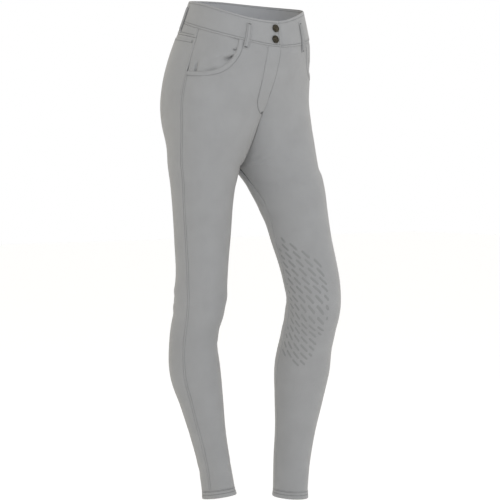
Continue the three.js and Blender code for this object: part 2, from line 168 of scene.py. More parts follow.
def curve(rows, column, z):
    """A smooth curve through one column of a table whose rows go down."""
    at, value = rows["z"][::-1], rows[column][::-1]
    step = np.diff(at)
    rise = np.diff(value) / step
    slope = np.concatenate([
        rise[:1],
        (rise[:-1] * step[1:] + rise[1:] * step[:-1]) / (step[:-1] + step[1:]),
        rise[-1:],
    ])
    z = np.asarray(z, float)
    inside = np.clip(z, at[0], at[-1])
    i = np.clip(np.searchsorted(at, inside, "right") - 1, 0, len(at) - 2)
    t = (inside - at[i]) / step[i]
    bend = (
        (2 * t**3 - 3 * t**2 + 1) * value[i]
        + (t**3 - 2 * t**2 + t) * step[i] * slope[i]
        + (3 * t**2 - 2 * t**3) * value[i + 1]
        + (t**3 - t**2) * step[i] * slope[i + 1]
    )
    return bend + np.minimum(z - at[0], 0) * slope[0]


def trunk_point(side, z, angle):
    """A point of the trunk: angle is -90 at the front, 0 at the side and 90 at the back."""
    across, along = np.cos(np.radians(angle)), np.sin(np.radians(angle))
    depth = np.where(along < 0, curve(TRUNK, "front", z), curve(TRUNK, "back", z))
    wide, power = curve(TRUNK, "wide", z), TRUNK_SQUARENESS
    radius = ((abs(across) / wide) ** power + (abs(along) / depth) ** power) ** (-1 / power)
    x = curve(TRUNK, "x", z) + side * radius * across
    y = curve(TRUNK, "y", z) + radius * along
    drop = curve(TRUNK, "dip", z) * np.maximum(0, -along) ** 2
    for wave in RIM_WAVES:
        near = smooth(1 - abs(side * (angle + 90) - wave["turn"]) / wave["reach"])
        drop = drop + wave["drop"] * near * np.maximum(0, 1 - z / BAND_SEAM)
    return np.stack([x, y, z + curve(TRUNK, "lean", z) * along - drop + TRUNK_TILT * x], -1)


def leg_point(side, z, angle):
    """A point of a leg: angle is 0 on the outside, -90 at the front and 180 on the inside."""
    rows = LEGS[side]
    long, short = curve(rows, "long", z), curve(rows, "short", z)
    turned = np.radians(angle + curve(rows, "turn", z))
    radius = long * short / np.hypot(short * np.cos(turned), long * np.sin(turned))
    out = side * radius * np.cos(np.radians(angle))
    back = radius * np.sin(np.radians(angle))
    step = 4
    tilt = smooth((FORK - z) / TILT_REACH)
    slope_x = (curve(rows, "x", z + step) - curve(rows, "x", z - step)) / (2 * step)
    slope_y = (curve(rows, "y", z + step) - curve(rows, "y", z - step)) / (2 * step)
    lift = (out * slope_x + back * slope_y) * tilt
    return np.stack([curve(rows, "x", z) + out, curve(rows, "y", z) + back, z - lift], -1)


def surface(side, face, z, u):
    """The cloth's outer surface. z is the height at the side seam, and u runs from 0 at the middle seam
    or inseam to 1 at the side seam."""
    z, u = np.broadcast_arrays(np.asarray(z, float), np.asarray(u, float))
    half = -1 if face == "front" else 1
    seam = -curve(SEAMS, "outer", z)
    inseam = half * 180 - curve(SEAMS, "inner", z)
    trunk = trunk_point(side, np.maximum(z, FORK), half * 90 + (seam - half * 90) * u)
    leg = leg_point(side, z, inseam + (seam - inseam) * u)
    end = leg_point(side, np.maximum(z, FORK), half * 180)
    pull = (1 - u) ** CROTCH["sharpness"] * smooth((z - FORK + CROTCH["reach"]) / CROTCH["reach"])
    leg[..., 1] += (CROTCH["y"] - end[..., 1]) * pull
    leg[..., 0] += (CROTCH["x"] - end[..., 0]) * pull
    leg[..., 0] = CROTCH["x"] + side * np.maximum(GAP, side * (leg[..., 0] - CROTCH["x"]))
    way = np.clip((HIP - z) / (HIP - FORK), 0, 1)
    fall = np.sin(way * np.pi / 2)
    down, under = RISE[face]
    middle = 1 - (1 - fall**down) ** (1 / under)
    near = 0.5 + 0.5 * np.cos(np.pi * u)
    share = (smooth(way) + (middle - smooth(way)) * near)[..., None]
    level = leg.copy()
    level[..., 2] = z
    point = trunk + (level - trunk) * share
    point[..., 2] += np.where(z < HIP, (HIP + (FORK - HIP) * fall - z) * near, 0)
    return np.where((z > FORK)[..., None], point, leg)


def unit(v):
    return v / np.maximum(np.linalg.norm(v, axis=-1, keepdims=True), 1e-9)


def panel(side, face, z, u, out=0):
    """Points of the cloth's surface moved out, and the outward directions there."""
    step_z, step_u = 1.5, 0.01
    across = surface(side, face, z, u + step_u) - surface(side, face, z, u - step_u)
    up = surface(side, face, z + step_z, u) - surface(side, face, z - step_z, u)
    outward = unit(np.cross(across, up))
    if (face == "front") != (side > 0):
        outward = -outward
    base = surface(side, face, z, u)
    return base + outward * np.asarray(out)[..., None], outward


def band_at(turn, z):
    wrapped = np.where(turn > 180, turn - 360, np.where(turn < -180, turn + 360, turn))
    right = trunk_point(-1, z, abs(wrapped) - 90)
    left = trunk_point(1, z, abs(wrapped) - 90)
    return np.where((wrapped < 0)[..., None], right, left)


def band(turn, z, out=0):
    """Points round the waistband, moved out. turn is in degrees from the middle of the front to the left."""
    turn, z = np.broadcast_arrays(np.asarray(turn, float), np.asarray(z, float))
    across = band_at(turn + 0.5, z) - band_at(turn - 0.5, z)
    outward = unit(np.cross(across, band_at(turn, z + 1) - band_at(turn, z - 1)))
    return band_at(turn, z) + outward * np.asarray(out)[..., None], outward


# Relief of the cloth, in millimetres outwards


def seam_scale(side, face, z, u):
    """Millimetres of cloth for each unit of u, at a seam."""
    step = 0.01
    inner = abs(u - step)
    return np.linalg.norm(surface(side, face, z, u) - surface(side, face, z, inner), axis=-1) / step


def roll(distance, reach=1.6, depth=0.7):
    """The edge of a sewn panel turns down into its seam."""
    return -depth * (1 - smooth(distance / reach))


def fell(distance, width=FELL, height=0.4):
    """The layers under a topstitched seam raise a band beside it."""
    return height * smooth(distance / 1.2) * (1 - smooth((distance - width) / 1.6))


def stitched(distance, at=STITCH_OFF, depth=0.55, wide=0.85):
    """A line of stitches pulls the cloth in."""
    return -depth * np.exp(-(((distance - at) / wide) ** 2))


def pucker(distance, along, reach=6, depth=0.13, pitch=8.5):
    """Small uneven ripples beside a sewn line."""
    wave = np.sin(2 * np.pi * along / pitch + 1.4 * np.sin(along / 19) + 0.9 * np.sin(along / 7.3))
    return depth * wave * np.exp(-((distance / reach) ** 2))


def drift(point):
    """Cloth is never quite even: a slow wander of a fraction of a millimetre."""
    x, y, z = point[..., 0], point[..., 1], point[..., 2]
    return 0.14 * (
        np.sin(x / 21 + 1.3 * np.sin(z / 47)) + np.sin(y / 17 + z / 39 + 2) + np.sin((x - z) / 29 + y / 33)
    )


# Broad swells and hollows: a panel, a height and share of its width, how far out, and the reach
SWELLS = {
    -1: [("back", -232, 0.62, 3, 45), ("front", -425, 0.31, 2.4, 60), ("front", -645, 0.3, -2.6, 20)],
    1: [("front", -586, 0.87, 4.6, 42), ("back", -465, 0.13, 4.4, 52), ("back", -345, 0.1, -3, 26),
        ("front", -255, 0.9, 2.2, 60)],
}


def swell(side, point):
    height = 0
    for face, z, u, out, reach in SWELLS[side]:
        far = np.linalg.norm(point - surface(side, face, z, u), axis=-1)
        height = height + out * np.exp(-((far / reach) ** 2))
    return height


# Creases: each runs from one place to another on its panel, by height and share of the width from the
# inseam, bows by a number of millimetres, and is a soft trough with a ridge beside it.
CREASES = {
    ("front", -1): table(CREASE, [
        (-300, 0.03, -215, 0.30, 5, 8, 0.7),
        (-312, 0.06, -262, 0.42, -6, 9, 0.8),
        (-322, 0.10, -330, 0.46, 6, 8, 0.6),
        (-345, 0.04, -372, 0.30, -5, 8, 0.5),
        (-596, 0.10, -612, 0.52, 5, 8, 0.7),
        (-668, 0.16, -684, 0.50, -4, 7, 0.5),
        (-850, 0.93, -915, 0.86, 3, 6, 0.9),
        (-935, 0.30, -948, 0.72, 3, 6, 0.5),
    ]),
    ("front", 1): table(CREASE, [
        (-298, 0.03, -222, 0.26, -5, 8, 0.7),
        (-314, 0.05, -276, 0.40, 6, 9, 0.8),
        (-326, 0.08, -338, 0.44, -5, 8, 0.7),
        (-352, 0.05, -384, 0.30, 4, 8, 0.5),
        (-700, 0.12, -712, 0.50, 4, 8, 0.5),
        (-940, 0.28, -952, 0.70, -3, 6, 0.5),
    ]),
    ("back", -1): table(CREASE, [
        (-292, 0.10, -262, 0.52, 8, 9, 1.4),
        (-316, 0.06, -306, 0.60, 9, 9, 1.2),
        (-338, 0.08, -344, 0.50, 6, 9, 0.8),
        (-606, 0.14, -598, 0.80, 7, 8, 1.3),
        (-624, 0.08, -628, 0.62, -5, 7, 1.2),
        (-646, 0.22, -640, 0.90, 6, 8, 1.4),
        (-668, 0.12, -674, 0.58, 5, 7, 0.9),
        (-866, 0.20, -858, 0.70, 4, 7, 0.6),
        (-930, 0.24, -936, 0.78, -4, 6, 0.7),
        (-952, 0.34, -946, 0.84, 4, 6, 0.6),
    ]),
    ("back", 1): table(CREASE, [
        (-300, 0.08, -276, 0.56, 8, 9, 1.3),
        (-322, 0.10, -318, 0.54, 7, 9, 1.0),
        (-345, 0.06, -356, 0.46, -6, 9, 0.8),
        (-590, 0.16, -580, 0.74, 6, 8, 1.2),
        (-612, 0.10, -616, 0.86, 7, 8, 1.5),
        (-634, 0.20, -628, 0.66, -5, 7, 1.1),
        (-656, 0.12, -664, 0.74, 6, 8, 1.0),
        (-880, 0.22, -870, 0.72, 4, 7, 0.6),
        (-944, 0.20, -952, 0.70, 4, 6, 0.7),
        (-966, 0.36, -960, 0.82, -3, 6, 0.6),
    ]),
}


DOWN = np.linspace(0, 1020, 86)
WIDTHS = {
    (side, face): np.linalg.norm(
        np.diff(surface(side, face, -DOWN[:, None], np.linspace(0, 1, 17)), axis=1), axis=-1
    ).sum(1)
    for side in SIDES for face in ("front", "back")
}


def panel_width(side, face, z):
    """The panel's width in millimetres, at a height."""
    return np.interp(-np.asarray(z), DOWN, WIDTHS[side, face])


def creases(rows, side, face, z, u):
    """Depth of a table's creases on a panel, at heights z and shares u of its width."""
    across = u * panel_width(side, face, z)
    total = np.zeros(np.broadcast(z, across).shape)
    t = np.linspace(0, 1, 9)
    for z0, u0, z1, u1, bow, wide, depth in zip(*rows.values()):
        start = np.array([u0 * panel_width(side, face, z0), z0])
        end = np.array([u1 * panel_width(side, face, z1), z1])
        aside = unit(np.array([start[1] - end[1], end[0] - start[0]]))
        line = start + (end - start) * t[:, None] + aside * (bow * np.sin(np.pi * t) ** 1.2)[:, None]
        best = np.full(total.shape, 1e9)
        signed = np.zeros(total.shape)
        along = np.zeros(total.shape)
        for k in range(len(t) - 1):
            a, run = line[k], line[k + 1] - line[k]
            dx, dz = across - a[0], z - a[1]
            share = np.clip((dx * run[0] + dz * run[1]) / (run @ run), 0, 1)
            ex, ez = dx - share * run[0], dz - share * run[1]
            far = np.hypot(ex, ez)
            closer = far < best
            best = np.where(closer, far, best)
            signed = np.where(closer, np.sign(run[0] * ez - run[1] * ex) * far, signed)
            along = np.where(closer, t[k] + share * (t[1] - t[0]), along)
        fade = np.sin(np.pi * np.clip(along, 0, 1)) ** 0.8 * (1.15 - 0.3 * along)
        trough = -np.exp(-((best / wide) ** 2))
        ridge = 0.55 * np.exp(-(((signed - 1.7 * wide) / wide) ** 2))
        total += depth * fade * (trough + ridge)
    return total


def cloth_relief(side, face, z, u):
    """Everything that raises or lowers a leg panel's cloth, apart from its pockets."""
    z, u = np.broadcast_arrays(np.asarray(z, float), np.asarray(u, float))
    to_side = (1 - u) * seam_scale(side, face, z, 1.0)
    to_middle = u * seam_scale(side, face, z, 0.0)
    height = roll(to_side, 1.4, 0.5) + roll(to_middle)
    height += pucker(to_side, z) + pucker(to_middle, z + 31)
    if face == "front":
        height += fell(to_side) + stitched(to_side, depth=0.3)
        plain = smooth((RISE_SEAM["tack"] - z) / 8) * (1 - smooth((RISE_SEAM["top"] - z) / 20))
        height -= 0.9 * plain * roll(to_middle)
        rise = smooth((RISE_SEAM["top"] - z) / 25) * smooth((z - FORK) / 25)
        height += rise * roll(to_middle, 2.6, 0.7)
        if side < 0:
            height += rise * fell(to_middle, RISE_SEAM["wide"], RISE_SEAM["high"])
            height += rise * stitched(to_middle, RISE_SEAM["wide"] + 4.5, RISE_SEAM["trough"], 3.4)
        else:
            height += roll(to_middle, 2.6, 0.9) * smooth((z - RISE_SEAM["tack"]) / 6)
    else:
        height += fell(to_side, 4.5, 0.25)
        seat = smooth((z - FORK) / 20)
        height += (fell(to_middle) + stitched(to_middle)) * seat
    height += creases(CREASES[face, side], side, face, z, u)
    point = surface(side, face, z, u)
    return height + drift(point) + swell(side, point)


# Meshes

CUT_SHARE = 0.95  # stretch cloth is cut a little narrower than it is worn


def make_piece(name, vertices, faces, material, uvs=None, sharp=50):
    mesh = bpy.data.meshes.new(name)
    mesh.from_pydata((np.asarray(vertices) / 1000).tolist(), [], faces)
    if uvs is not None:
        layer = mesh.uv_layers.new(name="cloth")
        loops = np.zeros(len(mesh.loops), np.int32)
        mesh.loops.foreach_get("vertex_index", loops)
        layer.data.foreach_set("uv", (np.asarray(uvs)[loops] / 1000).ravel())
    mesh.materials.append(material)
    mesh.shade_smooth()
    mesh.set_sharp_from_angle(angle=math.radians(sharp))
    piece = bpy.data.objects.new(name, mesh)
    bpy.context.scene.collection.objects.link(piece)
    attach(piece, "root")
    return piece


def tube_faces(rings, sides):
    """Faces of a tube between rings of points, with its two ends last."""
    faces = []
    for start in range(0, (rings - 1) * sides, sides):
        for s in range(sides):
            a, b = start + s, start + (s + 1) % sides
            faces.append((a, b, b + sides, a + sides))
    faces.append(tuple(range(sides))[::-1])
    faces.append(tuple(range((rings - 1) * sides, rings * sides)))
    return faces


def moved_faces(faces, starts):
    """The same faces for many like shapes, whose points begin at the starts."""
    return [tuple(v + start for v in face) for start in starts for face in faces]


def wall_faces(rows, columns, ring):
    """Quads of a closed wall between two grids, the outer one first."""
    i, j = np.meshgrid(np.arange(rows - 1), np.arange(columns if ring else columns - 1), indexing="ij")
    back = rows * columns
    a, b = i * columns + j, (i + 1) * columns + j
    c, d = (i + 1) * columns + (j + 1) % columns, i * columns + (j + 1) % columns
    quads = [np.stack([a, b, c, d], -1).reshape(-1, 4), back + np.stack([a, d, c, b], -1).reshape(-1, 4)]
    j = np.arange(columns if ring else columns - 1)
    k, low = (j + 1) % columns, (rows - 1) * columns
    quads.append(np.stack([j, k, back + k, back + j], -1))
    quads.append(np.stack([low + k, low + j, back + low + j, back + low + k], -1))
    if not ring:
        i = np.arange(rows - 1) * columns
        end = columns - 1
        quads.append(np.stack([i + columns, i, back + i, back + i + columns], -1))
        quads.append(np.stack([i + end, i + columns + end, back + i + columns + end, back + i + end], -1))
    return np.concatenate(quads)


def signed_volume(vertices, quads):
    a, b, c, d = (vertices[quads[:, k]] for k in range(4))
    return (np.cross(a, b) * c).sum() + (np.cross(a, c) * d).sum()


def wall(name, points, outward, thick, across, along, material, ring=False):
    """A closed thin wall with its outer side on the points."""
    rows, columns = points.shape[:2]
    vertices = np.concatenate([points.reshape(-1, 3), (points - outward * thick).reshape(-1, 3)])
    quads = wall_faces(rows, columns, ring)
    if signed_volume(vertices, quads) < 0:
        quads = quads[:, ::-1]
    uv = np.stack(np.broadcast_arrays(across, along), -1).reshape(-1, 2)
    return make_piece(name, vertices, quads.tolist(), material, np.concatenate([uv, uv]))


def cloth_shell(node, placed, across, along, thick=CLOTH_THICK, ring=False, cut=CUT_SHARE, lining=False):
    """The wall of cloth that stands for one CAD node. placed holds its points and outward directions."""
    points, outward = placed
    kind, material, slot = ("lining", LINING, "waist_lining") if lining else ("cloth", CLOTH, "cloth")
    piece = wall(f"{kind}_{node}", points, outward, thick, across, along, material, ring)
    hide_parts(node)
    spans = np.linalg.norm(np.diff(points, axis=1), axis=-1).sum(1)
    drops = np.linalg.norm(np.diff(points, axis=0), axis=-1).sum(0)
    if ring:
        spans = spans + np.linalg.norm(points[:, 0] - points[:, -1], axis=-1)
    corners = [points[:-1, :-1], points[1:, :-1], points[1:, 1:], points[:-1, 1:]]
    area = 0.5 * np.linalg.norm(np.cross(corners[2] - corners[0], corners[3] - corners[1]), axis=-1).sum()
    width, length = spans.max() / 1000 * cut, drops.max() / 1000
    area = min(area / 1e6 * cut, width * length)


# Distances from an edge, in millimetres, where a mesh has its rows and columns
FINE = np.array([0, 0.5, 1.0, 1.6, 2.4, 3.3, 4.0, 4.6, 5.2, 6.0, 7.0, 8.5])


def spread(points_at, low, high, middle, fine=FINE):
    """Shares of each row from low to high, close together at both ends. points_at gives the rows' points."""
    dense = np.linspace(0, 1, 97)
    u = low[:, None] + (high - low)[:, None] * dense
    points = points_at(u)
    steps = np.linalg.norm(np.diff(points, axis=1), axis=-1)
    arc = np.concatenate([np.zeros((len(u), 1)), steps.cumsum(1)], 1)
    total = arc[:, -1:]
    edge = fine * np.minimum(1, total / (4 * fine[-1]))
    inner = edge[:, -1:] + (total - 2 * edge[:, -1:]) * np.linspace(0, 1, middle + 2)[1:-1]
    wanted = np.concatenate([edge, inner, total - edge[:, ::-1]], 1)
    return np.stack([np.interp(w, a, row) for w, a, row in zip(wanted, arc, u)]), wanted


def heights(start, end, step=4.5):
    """Heights from start down to end, close together at both."""
    fine = FINE[:9]
    inner = np.linspace(start - fine[-1], end + fine[-1], max(2, int((start - end) / step)))
    return np.concatenate([start - fine[:-1], inner, end + fine[:-1][::-1]])


# Materials


def new_material(name, settings):
    """A material's nodes, links and shader, with the shader's own sockets set."""
    material = bpy.data.materials.new(name)
    material.use_nodes = True
    nodes, links = material.node_tree.nodes, material.node_tree.links
    shader = nodes["Principled BSDF"]
    for socket, value in settings.items():
        shader.inputs[socket].default_value = value
    return material, nodes, links, shader


def add_node(nodes, kind, **values):
    node = nodes.new(kind)
    for key, value in values.items():
        if key in node.inputs:
            node.inputs[key].default_value = value
        else:
            setattr(node, key, value)
    return node


def tone(nodes, links, source, start, end):
    """A ramp between two stops, each with its position and colour."""
    ramp = nodes.new("ShaderNodeValToRGB")
    for stop, (position, colour) in zip(ramp.color_ramp.elements, (start, end)):
        stop.position, stop.color = position, (*colour, 1)
    links.new(source, ramp.inputs["Fac"])
    return ramp.outputs["Color"]


def emboss(nodes, links, shader, source, strength, distance):
    bump = add_node(nodes, "ShaderNodeBump", Strength=strength, Distance=distance)
    links.new(source, bump.inputs["Height"])
    links.new(bump.outputs["Normal"], shader.inputs["Normal"])


def math_node(nodes, links, operation, *values):
    """A sum or product of values, each an output of another node or a number."""
    node = add_node(nodes, "ShaderNodeMath", operation=operation)
    for socket, value in zip(node.inputs, values):
        if isinstance(value, float):
            socket.default_value = value
        else:
            links.new(value, socket)
    return node.outputs[0]


def cloth_material(name, colour, dark, rough=0.86, weave=0.5):
    """A close, smooth stretch cloth: fine diagonal ribs, a faint mottle and a soft sheen."""
    material, nodes, links, shader = new_material(name, {
        "Roughness": rough, "Specular IOR Level": 0.25,
        "Sheen Weight": 0.27, "Sheen Roughness": 0.55, "Sheen Tint": (1, 0.96, 0.9, 1),
    })
    cloth = add_node(nodes, "ShaderNodeUVMap", uv_map="cloth")
    place = nodes.new("ShaderNodeTexCoord")
    rib = add_node(nodes, "ShaderNodeTexWave", bands_direction="DIAGONAL", Scale=620.0, Distortion=1.2)
    rib.inputs["Detail"].default_value = 1.0
    rib.inputs["Detail Scale"].default_value = 0.4
    weft = add_node(nodes, "ShaderNodeTexWave", bands_direction="Y", Scale=520.0, Distortion=0.8)
    fibre = add_node(nodes, "ShaderNodeTexNoise", Scale=1500.0, Detail=2.0, Roughness=0.6)
    mottle = add_node(nodes, "ShaderNodeTexNoise", Scale=26.0, Detail=4.0, Roughness=0.6)
    for node in (rib, weft, fibre):
        links.new(cloth.outputs["UV"], node.inputs["Vector"])
    links.new(place.outputs["Object"], mottle.inputs["Vector"])
    woven = math_node(nodes, links, "MULTIPLY", rib.outputs["Fac"], weft.outputs["Fac"])
    height = math_node(nodes, links, "MULTIPLY_ADD", fibre.outputs["Fac"], 0.45, woven)
    emboss(nodes, links, shader, height, weave, 0.00022)
    half = math_node(nodes, links, "MULTIPLY", height, 0.55)
    blend = math_node(nodes, links, "MULTIPLY_ADD", mottle.outputs["Fac"], 0.5, half)
    links.new(tone(nodes, links, blend, (0.15, dark), (0.85, colour)), shader.inputs["Base Color"])
    return material


def grained_material(name, settings, grain, start, end, strength, distance, rough=None):
    """A material whose fine grain gives its tone and relief, and its roughness where two values are given."""
    material, nodes, links, shader = new_material(name, settings)
    place = nodes.new("ShaderNodeTexCoord")
    noise = add_node(nodes, "ShaderNodeTexNoise", **grain)
    links.new(place.outputs["Object"], noise.inputs["Vector"])
    links.new(tone(nodes, links, noise.outputs["Fac"], start, end), shader.inputs["Base Color"])
    emboss(nodes, links, shader, noise.outputs["Fac"], strength, distance)
    if rough:
        share = nodes.new("ShaderNodeMapRange")
        share.inputs["To Min"].default_value, share.inputs["To Max"].default_value = rough
        links.new(noise.outputs["Fac"], share.inputs["Value"])
        links.new(share.outputs["Result"], shader.inputs["Roughness"])
    return material


CLOTH = cloth_material("stretch_cloth", (0.316, 0.318, 0.321), (0.236, 0.238, 0.24))
LINING = cloth_material("band_lining", (0.52, 0.525, 0.54), (0.42, 0.425, 0.44), 0.9, 0.4)
# Painted shade: the thread is coloured far darker than the cloth, to stand for the shade that falls in the
# stitched grooves
THREAD_PAINTED_SHADE = grained_material(
    "thread", {"Roughness": 0.6, "Sheen Weight": 0.15}, {"Scale": 900.0, "Detail": 2.0},
    (0, (0.045, 0.046, 0.048)), (1, (0.085, 0.086, 0.09)), 0.4, 0.0001,
)
# Printed silicone: smooth, a little darker and shinier than the cloth
GRIP = grained_material(
    "grip_print",
    {"Roughness": 0.42, "Subsurface Weight": 0.08, "Subsurface Radius": (0.001, 0.001, 0.001)},
    {"Scale": 120.0, "Detail": 3.0}, (0, (0.198, 0.2, 0.2)), (1, (0.226, 0.23, 0.23)), 0.25, 0.0002,
)
# Dark antique brass, rubbed bright in places
METAL = grained_material(
    "snap_metal", {"Metallic": 1.0}, {"Scale": 420.0, "Detail": 5.0, "Roughness": 0.65},
    (0.38, (0.014, 0.012, 0.009)), (0.72, (0.13, 0.115, 0.085)), 0.3, 0.0002, (0.5, 0.3),
)

# Threads


def stitches(points, outward, pitch=STITCH["pitch"], length=STITCH["length"], thick=STITCH["thick"]):
    """Vertices and faces of the short threads along a line, each dipping into the cloth at its ends."""
    step = np.linalg.norm(np.diff(points, axis=0), axis=-1)
    arc = np.concatenate([[0], step.cumsum()])
    count = max(1, int(arc[-1] / pitch))
    starts = (np.arange(count) + 0.5) * arc[-1] / count - length / 2
    rings, sides = 4, 6
    along = np.linspace(0, 1, rings)
    at = starts[:, None] + along * length
    centre = np.stack([np.interp(at, arc, points[:, k]) for k in range(3)], -1)
    out = unit(np.stack([np.interp(at, arc, outward[:, k]) for k in range(3)], -1))
    tangent = unit(centre[:, -1:] - centre[:, :1])
    beside = unit(np.cross(tangent, out))
    bulge = np.sin(np.pi * (0.12 + 0.76 * along))
    centre = centre + out * (STITCH["proud"] - 0.45 * (1 - bulge))[None, :, None]
    turn = np.linspace(0, 2 * np.pi, sides, endpoint=False)
    radius = (thick / 2) * (0.45 + 0.55 * bulge)
    ring = beside[:, :, None] * np.cos(turn)[:, None] + out[:, :, None] * np.sin(turn)[:, None]
    vertices = (centre[:, :, None] + ring * radius[:, None, None]).reshape(-1, 3)
    return vertices, moved_faces(tube_faces(rings, sides), range(0, len(vertices), rings * sides))


class Threads:
    """Collects many stitched lines into one piece."""

    def __init__(self, name):
        self.name, self.vertices, self.faces, self.count = name, [], [], 0

    def sew(self, placed, **size):
        points, outward = placed
        vertices, faces = stitches(points, outward, **size)
        self.vertices.append(vertices)
        self.faces += moved_faces(faces, [self.count])
        self.count += len(vertices)

    def tack(self, points, outward, wide, long, rows=9, lift=0.0):
        """A bar tack of threads side by side. The points are its middle, a place beside it and one below."""
        middle = points[0] + outward * lift
        across, along = unit(points[1] - points[0]), unit(points[2] - points[0])
        for k in range(rows):
            offset = along * (k / (rows - 1) - 0.5) * long
            ends = np.array([middle + offset - across * wide / 2, middle + offset + across * wide / 2])
            self.sew((ends, np.array([outward, outward])), pitch=wide, length=wide * 0.96, thick=0.5)

    def done(self):
        make_piece(self.name, np.concatenate(self.vertices), self.faces, THREAD_PAINTED_SHADE, sharp=70)


def on_cloth(side, face, z, u, more=0.0):
    """Places on a leg panel's finished surface."""
    z, u = np.broadcast_arrays(np.asarray(z, float), np.asarray(u, float))
    return panel(side, face, z, u, cloth_relief(side, face, z, u) + more)


# Leg panels and pockets


def scoop_edge(share, grow=0):
    angle = (np.pi / 2) * (1 - (1 - share) ** SCOOP["spread"])
    fall = np.sin(angle) ** SCOOP["round"]
    reach = abs(np.cos(angle)) ** SCOOP["round"]
    wide = 1 - SCOOP["start"] + (SCOOP["under"] if grow else 0)
    return BAND_SEAM - GAP - (SCOOP["depth"] + grow) * fall, 1 - wide * reach


def scoop_distance(side, z, u):
    """Millimetres from the pocket's mouth, on the panel."""
    mouth_z, mouth_u = scoop_edge(np.linspace(0, 1, 40))
    line = np.stack([mouth_u * panel_width(side, "front", mouth_z), mouth_z], -1)
    across = u * panel_width(side, "front", z)
    best = np.full(np.shape(across), 1e9)
    for a, b in zip(line, line[1:]):
        run = b - a
        share = np.clip(((across - a[0]) * run[0] + (z - a[1]) * run[1]) / (run @ run), 0, 1)
        best = np.minimum(best, np.hypot(across - a[0] - share * run[0], z - a[1] - share * run[1]))
    return best


def front_relief(side, z, u):
    mouth = scoop_distance(side, z, u)
    near = cloth_relief(side, "front", z, u)
    near = near + roll(mouth, 2.2, 0.9) + fell(mouth, MOUTH_STITCH - 0.6, 0.55)
    near = near + stitched(mouth, MOUTH_STITCH, 0.45, 1.4) + pucker(mouth, z * 0.7 + u * 140, 12, 0.12)
    return near + roll(BAND_SEAM - z)


def front(side):
    edge_z, edge_u = scoop_edge(np.linspace(0, 1, 46))
    below = heights(edge_z[-1], HEM_SEAM[side] + GAP)[1:]
    z = np.concatenate([edge_z, below])[:, None]
    high = np.concatenate([edge_u, np.ones(len(below))])
    low = np.full(len(z), EDGE_SHARE)
    fine = np.append(FINE[:-1], [8.0, 9.0, 10.0, 11.2])
    u, across = spread(lambda u: surface(side, "front", z, u), low, high - EDGE_SHARE * (high == 1), 34, fine)
    placed = panel(side, "front", z, u, front_relief(side, z, u))
    cloth_shell(f"front_{SIDES[side]}", placed, across, z)


# Pulls in the pocket's facing where the bag hangs from it
FACING_PULLS = table(CREASE, [
    (-71, 0.51, -79, 0.60, 0.5, 2.4, 5),
    (-88, 0.50, -106, 0.66, 1.5, 4.2, 6.5),
    (-90, 0.54, -112, 0.74, 3, 6, 3),
    (-114, 0.912, -152, 0.909, 1.3, 2.6, 5),
    (-100, 0.72, -126, 0.84, 3, 7, 1.2),
    (-122, 0.70, -134, 0.82, -2, 4, 1.6),
])
FACING_DEPTH = 1.9  # how far the facing lies behind the mouth's edge
PULL_SHARE = {-1: 1, 1: 0.3}  # how much of the pulls each side has


def pocket_facing(side):
    z, low = scoop_edge(np.linspace(0, 1, 72), SCOOP["below"])
    low[-1] = 0.96
    z, high = z[:, None], np.full(len(z), 1 - EDGE_SHARE)
    u, across = spread(lambda u: surface(side, "front", z, u), low, high, 52, FINE[::2])
    mouth = scoop_distance(side, z, u)
    edge_z, edge_u = scoop_edge(np.linspace(0, 1, 200))
    inside = (u > np.interp(z, edge_z[::-1], edge_u[::-1])) & (z > edge_z[-1])
    sunk = np.where(inside, 1 - smooth(mouth / 26), 1)
    to_side = (1 - u) * seam_scale(side, "front", z, 1.0)
    relief = -FACING_DEPTH * sunk - 0.15
    relief += roll(to_side) + roll(BAND_SEAM - z) + drift(surface(side, "front", z, u)) * (1 - sunk)
    pulls = creases(FACING_PULLS, side, "front", z, u)
    relief += np.where(inside, np.minimum(pulls, 0.5) * PULL_SHARE[side], 0)
    cloth_shell(f"pocket_facing_{SIDES[side]}", panel(side, "front", z, u, relief), across, z, 0.8)


def back_height(level, u):
    """Rows of the back follow the yoke's slanted seam at the top and calm down below it."""
    share = np.clip((level - YOKE["calm"]) / (BAND_SEAM - YOKE["side"] - YOKE["calm"]), 0, 1)
    return level - YOKE["middle"] * (1 - u) ** 2 * share**2


def back_yoke(side):
    share = np.concatenate([[0, 0.025, 0.06], np.linspace(0.1, 0.8, 12), [0.86, 0.9, 0.94, 0.975, 1]])
    share = share[:, None]

    def height(u):
        bottom = back_height(YOKE_LEVEL, u) + GAP / 2
        return BAND_SEAM - GAP + (bottom - BAND_SEAM + GAP) * share

    low, high = np.full(len(share), EDGE_SHARE), np.full(len(share), 1 - EDGE_SHARE)
    u, across = spread(lambda u: surface(side, "back", height(u), u), low, high, 34)
    z = height(u)
    seam = z - back_height(YOKE_LEVEL, u)
    relief = cloth_relief(side, "back", z, u) + roll(BAND_SEAM - z) + roll(seam) + fell(seam) + stitched(seam)
    relief += pucker(seam, across)
    cloth_shell(f"back_yoke_{SIDES[side]}", panel(side, "back", z, u, relief), across, z)


def back_cover(side, level, u):
    """Relief of the back panel, which turns down into the yoke's seam."""
    z = back_height(level, u)
    return cloth_relief(side, "back", z, u) + roll(YOKE_LEVEL - level) + pucker(YOKE_LEVEL - level, u * 170)


def back(side):
    level = heights(YOKE_LEVEL - GAP, HEM_SEAM[side] + GAP)[:, None]
    low, high = np.full(len(level), EDGE_SHARE), np.full(len(level), 1 - EDGE_SHARE)
    u, across = spread(lambda u: surface(side, "back", back_height(level, u), u), low, high, 36)
    placed = panel(side, "back", back_height(level, u), u, back_cover(side, level, u))
    cloth_shell(f"back_{SIDES[side]}", placed, across, level)


def pocket_thick(edge):
    """The pocket's thickness by the distance from its sewn edges: its cloth is pressed flat there."""
    return POCKET["edge"] + (POCKET["thick"] - POCKET["edge"]) * smooth(edge / POCKET["taper"])


